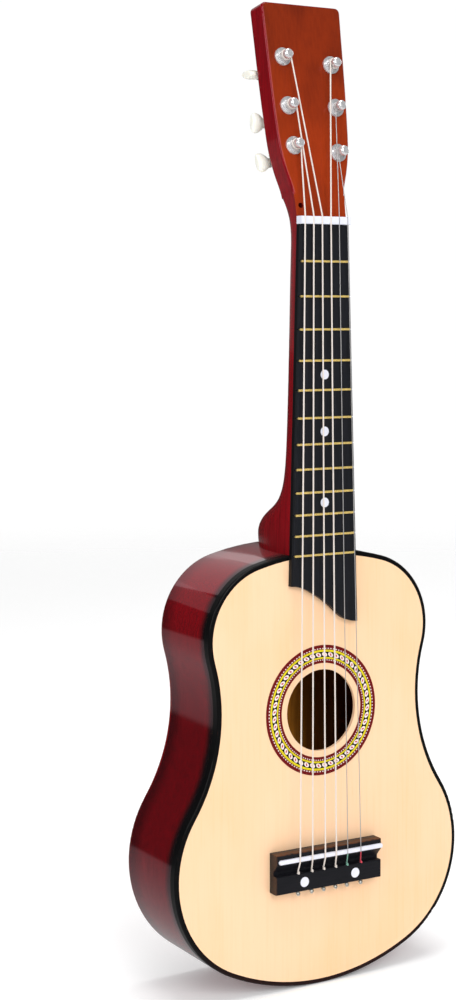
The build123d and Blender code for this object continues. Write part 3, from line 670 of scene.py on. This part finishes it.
def turned(mesh, base, direction, profile, sides):
    """Solid of revolution: profile is pairs of distance along the direction and radius."""
    across, up = square_to(direction)
    rings = [
        ring_around(mesh, base + direction * along, across, up, radius, sides) for along, radius in profile
    ]
    bridge_rings(mesh, rings)


# ---------------------------------------------------------------- where the strings run by the bridge
STRING_COUNT, THICK_COUNT = 6, 4
TIE_HOLE_XS = (-18.7, -10.0, -2.3, 5.4, 12.8, 21.9)
SADDLE_XS = (-19.5, -11.6, -3.4, 3.7, 11.3, 19.9)
TIE_HEIGHT, SADDLE_TOP, KNOT_HEIGHT = 5.5, 8.78, 6.1
TIE_Z, SADDLE_CORNER_Z = 63.9, 71.08
THICK, THIN = 0.42, 0.23
# how far past the tie block's corner a string and its knot start
STRING_START, KNOT_START = 0.55, 0.1
# distance along the string in millimetres, and share of the way from the string's radius to the knot's
KNOT_PROFILE = (
    (-0.35, 0.55), (-0.30, 0.95), (-0.05, 1.0), (0.12, 0.9), (0.35, 0.62), (0.75, 0.45), (1.3, 0.0)
)
KNOT_SIDES, KNOT_UNEVENNESS = 20, 0.05
# the silk's thread: steps to a turn, sides, pitch in thread radii, and the part of the span it covers
THREAD_STEPS, THREAD_SIDES, THREAD_PITCH = 12, 6, 1.9
SILK_START, SILK_END = 0.08, 0.93


def string_radius(index):
    """Radius of a string in millimetres, counted from 0 on the bass side."""
    return THICK if index < THICK_COUNT else THIN


def at(x, height, z):
    """Point in metres from millimetres across, off the soundboard, and up."""
    return Vector((x * MM, FRONT_Y - height * MM, z * MM))


def tie_point(index):
    """Where a string comes out of the tie block."""
    return at(TIE_HOLE_XS[index], TIE_HEIGHT, TIE_Z + STRING_START)


def saddle_point(index):
    """Where a string bends over the saddle."""
    return at(SADDLE_XS[index], SADDLE_TOP + string_radius(index), SADDLE_CORNER_Z)


# ---------------------------------------------------------------- operators
class GuitarOperator(bpy.types.Operator):
    """Shared base of the guitar's operators"""

    bl_options = {"REGISTER", "UNDO"}

    @property
    def colours(self):
        """The scene's colour settings."""
        return bpy.context.scene.guitar_colours

    @property
    def sizes(self):
        """The scene's size settings."""
        return bpy.context.scene.guitar_sizes


class TOYGUITAR_OT_top(GuitarOperator):
    """Finish the soundboard with clear satin lacquer over pale veneer"""

    bl_idname = "toy_guitar.top"
    bl_label = "Soundboard"

    def execute(self, context):
        dress(maple_top(self.colours, self.sizes), "soundboard")
        return {"FINISHED"}


class TOYGUITAR_OT_shell(GuitarOperator):
    """Lacquer the sides and the back, and paint the body's front edge"""

    bl_idname = "toy_guitar.shell"
    bl_label = "Sides, back and edge"

    def execute(self, context):
        dress(side_lacquer(self.colours, self.sizes), "bass_rim", "treble_rim")
        dress(back_lacquer(self.colours), "back_plate")
        dress(black_edge(self.colours), "front_binding")
        return {"FINISHED"}


class TOYGUITAR_OT_rosette(GuitarOperator):
    """Print the ring round the soundhole"""

    bl_idname = "toy_guitar.rosette"
    bl_label = "Rosette"

    def execute(self, context):
        dress(printed_rosette(self.colours, self.sizes), "rosette")
        return {"FINISHED"}


class TOYGUITAR_OT_inside(GuitarOperator):
    """Leave the blocks, linings and braces as raw wood"""

    bl_idname = "toy_guitar.inside"
    bl_label = "Inside woodwork"

    def execute(self, context):
        dress(raw_wood(self.colours), "neck_block", "end_block", "linings", "braces", "bridge_plate")
        return {"FINISHED"}


class TOYGUITAR_OT_neck(GuitarOperator):
    """Lacquer the neck and stain the head's face"""

    bl_idname = "toy_guitar.neck"
    bl_label = "Neck and head"

    def execute(self, context):
        dress(neck_lacquer(self.colours), "neck")
        return {"FINISHED"}


class TOYGUITAR_OT_fingerboard(GuitarOperator):
    """Stain the fingerboard and finish its frets, dots and nut"""

    bl_idname = "toy_guitar.fingerboard"
    bl_label = "Fingerboard"

    def execute(self, context):
        dress(stained_board(self.colours), "fretboard")
        dress(plated_metal("fret_brass", tuple(self.colours.fret), 0.22, 0.1, 0.45), "frets")
        dress(moulded_plastic("dot_plastic", tuple(self.colours.white)), "position_dots", "bridge_dots")
        dress(moulded_plastic("nut_plastic", tuple(self.colours.white), 0.3, 0.1), "nut", "saddle")
        return {"FINISHED"}


class TOYGUITAR_OT_bridge(GuitarOperator):
    """Paint the bridge and plate its bolts"""

    bl_idname = "toy_guitar.bridge"
    bl_label = "Bridge"

    def execute(self, context):
        dress(painted_bridge(self.colours), "bridge")
        dress(plated_metal("bolt_nickel", BOLT_NICKEL, 0.25, 0.15), "bridge_bolts")
        return {"FINISHED"}


class TOYGUITAR_OT_strings(GuitarOperator):
    """Finish the strings and add their knots and silk windings at the bridge"""

    bl_idname = "toy_guitar.strings"
    bl_label = "Strings"

    def execute(self, context):
        pitch = self.sizes.winding_pitch / MM
        thick = string_finish("string_pale", tuple(self.colours.string), pitch)
        thin = string_finish("string_wire", PLAIN_WIRE, PLAIN_PITCH, metallic=0.45, roughness=0.35)
        wound = string_finish("string_turns", WOUND_WIRE, pitch, metallic=0.5, roughness=0.25)
        for index in range(STRING_COUNT):
            dress(thick if index < THICK_COUNT else thin, f"string_{index + 1}")
            dress(wound, f"string_wraps_{index + 1}")
        dress(plated_metal("ball_metal", BALL_METAL, 0.3), "ball_ends")
        silks = {
            4: silk("silk_green", tuple(self.colours.silk_green)),
            5: silk("silk_red", tuple(self.colours.silk_red)),
        }
        for index in range(STRING_COUNT):
            self.add_knot(index, silks.get(index, thick))
        for index, finish in silks.items():
            self.add_silk(index, finish)
        return {"FINISHED"}

    def add_knot(self, index, finish):
        """Knot that stops the string in its hole in the tie block."""
        direction = (saddle_point(index) - tie_point(index)).normalized()
        radius = self.sizes.knot_radius
        wire = string_radius(index) * MM
        base = at(TIE_HOLE_XS[index], KNOT_HEIGHT, TIE_Z + KNOT_START)
        steps = [(along * MM, wire + (radius - wire) * share) for along, share in KNOT_PROFILE]
        mesh = bmesh.new()
        turned(mesh, base, direction, steps, KNOT_SIDES)
        draw = random.Random(index)
        for vertex in mesh.verts:
            vertex.co += Vector([draw.uniform(-KNOT_UNEVENNESS, KNOT_UNEVENNESS) * MM for _ in range(3)])
        knot = make_piece(f"string_knot_{index + 1}", mesh, finish)
        rounding = knot.modifiers.new("Round", "SUBSURF")
        rounding.levels, rounding.render_levels = 1, 2

    def add_silk(self, index, finish):
        """Silk thread wound close round the string between tie block and saddle."""
        start = tie_point(index) + (saddle_point(index) - tie_point(index)) * SILK_START
        end = tie_point(index) + (saddle_point(index) - tie_point(index)) * SILK_END
        direction = (end - start).normalized()
        across, up = square_to(direction)
        wire = self.sizes.silk_wire
        radius = self.sizes.silk_radius - wire
        steps = int((end - start).length / (wire * THREAD_PITCH)) * THREAD_STEPS
        points = []
        for step in range(steps + 1):
            angle = 2 * math.pi * step / THREAD_STEPS
            centre = start.lerp(end, step / steps)
            points.append(centre + (across * math.cos(angle) + up * math.sin(angle)) * radius)
        mesh = bmesh.new()
        tube_through(mesh, points, wire, THREAD_SIDES)
        make_piece(f"string_silk_{index + 1}", mesh, finish)


class TOYGUITAR_OT_tuners(GuitarOperator):
    """Plate the tuners' bushings, posts, plates, screws, worms and wheels"""

    bl_idname = "toy_guitar.tuners"
    bl_label = "Tuners"

    def execute(self, context):
        numbers = range(1, STRING_COUNT + 1)
        chrome = plated_metal("tuner_chrome", CHROME, 0.09, metallic=0.65)
        nickel = plated_metal("tuner_nickel", NICKEL, 0.2, 0.15, 0.8)
        brass = plated_metal("wheel_brass", tuple(self.colours.brass), 0.2, 0.1)
        dress(chrome, "tuner_bushings", *[f"post_{n}" for n in numbers])
        dress(nickel, "tuner_plates", "tuner_screws", *[f"worm_shaft_{n}" for n in numbers])
        dress(brass, *[f"wheel_{n}" for n in numbers])
        return {"FINISHED"}


class TOYGUITAR_OT_buttons(GuitarOperator):
    """Finish the tuner buttons"""

    bl_idname = "toy_guitar.buttons"
    bl_label = "Tuner buttons"

    def execute(self, context):
        cream = moulded_plastic("button_plastic", tuple(self.colours.cream), 0.25, 0.15)
        dress(cream, *[f"button_{n}" for n in range(1, STRING_COUNT + 1)])
        return {"FINISHED"}


class TOYGUITAR_OT_stage(GuitarOperator):
    """Set the floor, the lights and the camera"""

    bl_idname = "toy_guitar.stage"
    bl_label = "Stage"

    def execute(self, context):
        studio = context.scene.guitar_studio
        self.floor(studio)
        self.backdrop(context.scene)
        for light in LIGHTS:
            self.softbox(*light)
        self.camera(context.scene, studio)
        context.scene.view_settings.view_transform = "Standard"
        return {"FINISHED"}

    def floor(self, studio):
        """Wide pale floor under the guitar, which fades out into the backdrop."""
        mesh = bmesh.new()
        bmesh.ops.create_circle(mesh, cap_ends=True, segments=FLOOR_SEGMENTS, radius=FLOOR_RADIUS)
        data = bpy.data.meshes.new("studio_floor")
        mesh.to_mesh(data)
        mesh.free()
        finish = Finish(
            "floor_paper", Roughness=0.9, Specular_IOR_Level=0.05, Emission_Color=(1.0, 1.0, 1.0),
            Emission_Strength=FLOOR_GLOW,
        )
        paper = finish.noise(0.002, detail=2)
        finish.feed("Base Color", finish.mix(paper * 0.2, tuple(studio.floor), screen(250, 250, 251)))
        x, y, _ = finish.axes()
        reach = (x * x + y * y) ** 0.5
        finish.feed("Alpha", reach.rise(FLOOR_RADIUS / MM, FLOOR_FULL / MM))
        data.materials.append(finish.material)
        floor = bpy.data.objects.new("studio_floor", data)
        floor.location.z = -FLOOR_DROP
        floor.visible_glossy = False
        bpy.context.scene.collection.objects.link(floor)

    @staticmethod
    def backdrop(scene):
        """White surroundings that light the guitar softly and leave its gloss mostly dark."""
        world = bpy.data.worlds.new("studio_white")
        world.use_nodes = True
        nodes = Nodes(world.node_tree)
        background = nodes.tree.nodes["Background"]
        nodes.connect(background.inputs["Color"], (1.0, 1.0, 1.0))
        direction = nodes.node("ShaderNodeTexCoord", output="Generated")
        upward = nodes.node("ShaderNodeSeparateXYZ", None, {0: direction}, "Z")
        height = nodes.node("ShaderNodeMapRange", None, {"Value": upward, "From Min": -1.0})
        stops = [(place, (level, level, level)) for place, level in GLOSS_STOPS]
        gloss = nodes.node("ShaderNodeValToRGB", {"stops": stops}, {0: height})
        glossy_ray = nodes.node("ShaderNodeLightPath", output="Is Glossy Ray")
        strength = nodes.node(
            "ShaderNodeMix", None, {"Factor_Float": glossy_ray, "A_Float": AMBIENT, "B_Float": gloss}
        )
        camera_ray = nodes.node("ShaderNodeLightPath", output="Is Camera Ray")
        seen = nodes.node(
            "ShaderNodeMix",
            None,
            {"Factor_Float": camera_ray, "A_Float": strength, "B_Float": BACKDROP_WHITE},
        )
        nodes.connect(background.inputs["Strength"], seen)
        scene.world = world

    @staticmethod
    def softbox(name, place, target, size, power):
        """Rectangular light aimed at a point."""
        lamp = bpy.data.lights.new(name, "AREA")
        lamp.shape = "RECTANGLE"
        lamp.size, lamp.size_y = size
        lamp.energy = power
        light = bpy.data.objects.new(name, lamp)
        aim = Vector(target) - Vector(place)
        light.matrix_world = Matrix.Translation(place) @ aim.to_track_quat("-Z", "Y").to_matrix().to_4x4()
        light.visible_camera = False
        bpy.context.scene.collection.objects.link(light)

    @staticmethod
    def camera(scene, studio):
        """Level camera on the bass side, below the head."""
        data = bpy.data.cameras.new("studio_camera")
        data.lens = studio.lens
        data.shift_y = studio.lens_rise
        data.clip_start = 0.01
        camera = bpy.data.objects.new("studio_camera", data)
        camera.location = (studio.camera_x, studio.camera_y, studio.camera_z)
        camera.rotation_euler = (math.pi / 2, 0, -studio.turn)
        scene.collection.objects.link(camera)
        scene.camera = camera


class TOYGUITAR_PT_panel(bpy.types.Panel):
    """Sidebar panel with the guitar's steps and settings"""

    bl_label = "Toy Guitar"
    bl_idname = "TOYGUITAR_PT_panel"
    bl_space_type = "VIEW_3D"
    bl_region_type = "UI"
    bl_category = "Toy Guitar"

    def draw(self, context):
        for step in STEPS:
            self.layout.operator(step.bl_idname)
        for group in GROUPS:
            settings = getattr(context.scene, group)
            box = self.layout.box()
            for name in settings.__annotations__:
                box.prop(settings, name)


STEPS = (
    TOYGUITAR_OT_top,
    TOYGUITAR_OT_shell,
    TOYGUITAR_OT_rosette,
    TOYGUITAR_OT_inside,
    TOYGUITAR_OT_neck,
    TOYGUITAR_OT_fingerboard,
    TOYGUITAR_OT_bridge,
    TOYGUITAR_OT_strings,
    TOYGUITAR_OT_tuners,
    TOYGUITAR_OT_buttons,
    TOYGUITAR_OT_stage,
)
GROUPS = {"guitar_colours": GuitarColours, "guitar_sizes": GuitarSizes, "guitar_studio": GuitarStudio}


def register():
    """Registers the settings, the steps and the panel."""
    for name, group in GROUPS.items():
        bpy.utils.register_class(group)
        setattr(bpy.types.Scene, name, PointerProperty(type=group))
    for step in (*STEPS, TOYGUITAR_PT_panel):
        bpy.utils.register_class(step)


def unregister():
    """Takes the settings, the steps and the panel away again."""
    for step in reversed((*STEPS, TOYGUITAR_PT_panel)):
        bpy.utils.unregister_class(step)
    for name, group in GROUPS.items():
        delattr(bpy.types.Scene, name)
        bpy.utils.unregister_class(group)


def main():
    """Builds the guitar's looks."""
    register()
    for step in STEPS:
        group, name = step.bl_idname.split(".")
        getattr(getattr(bpy.ops, group), name)()


if __name__ == "__main__":
    main()
